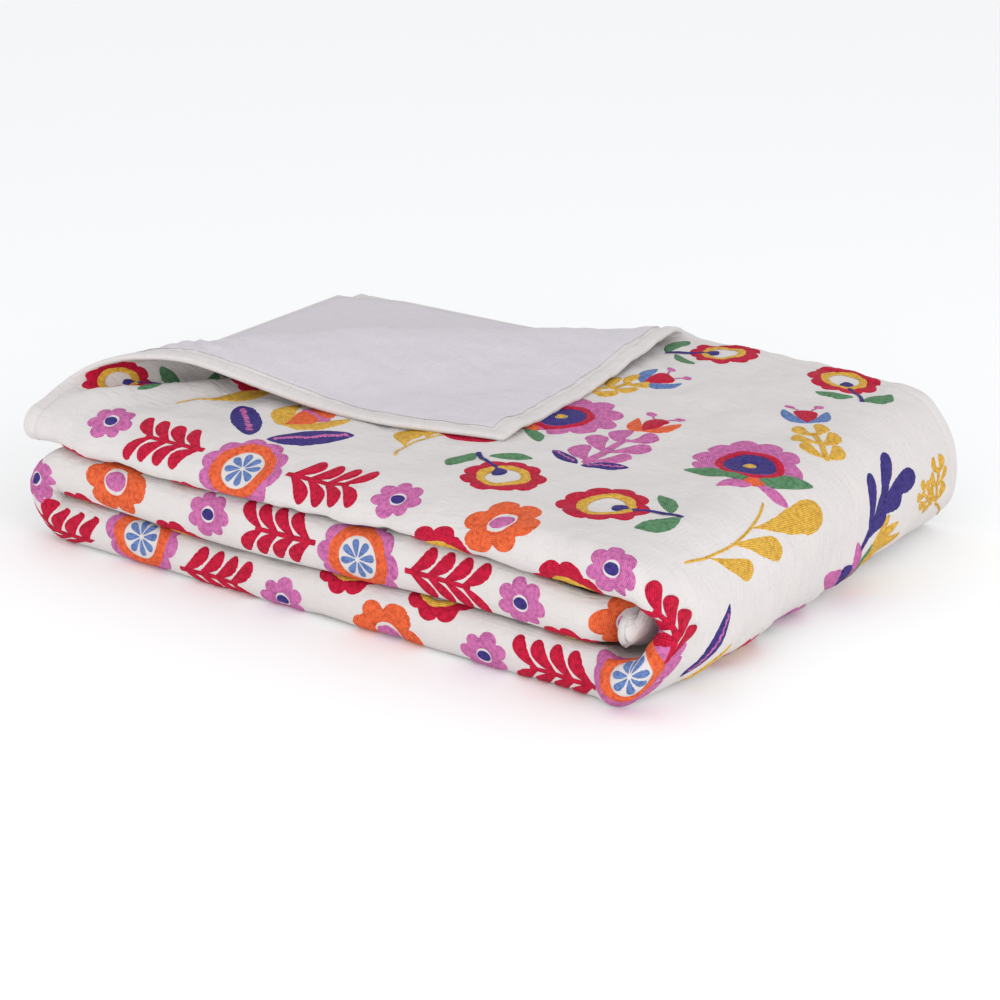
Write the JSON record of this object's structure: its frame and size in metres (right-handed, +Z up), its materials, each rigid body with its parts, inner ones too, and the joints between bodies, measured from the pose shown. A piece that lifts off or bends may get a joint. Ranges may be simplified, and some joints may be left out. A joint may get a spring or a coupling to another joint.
{
  "type": "quilted bedspread",
  "caption": "Quilted bedspread of embroidered cotton with a plain lining, folded into a stack, one corner of its top layer turned back.",
  "frame": {"origin": "under the middle of the folded stack's bounding box, on the surface it rests on", "axes": "+X along the stack's long side, towards the end where the outer layer wraps round; -Y towards the front rolls, +Y towards the hems at the back; +Z up"},
  "size_m": [0.6257, 0.4661, 0.1503],
  "materials": {
    "face_cloth": "soft washed cotton, cream white, matt, embroidered in coloured thread",
    "lining_cloth": "soft washed cotton, pale grey, matt and plain"
  },
  "bodies": {
    "root": {"padded_cloth": "face_cloth", "lining_turned_corner": "lining_cloth", "lining_second_layer": "lining_cloth"}
  },
  "joints": []
}
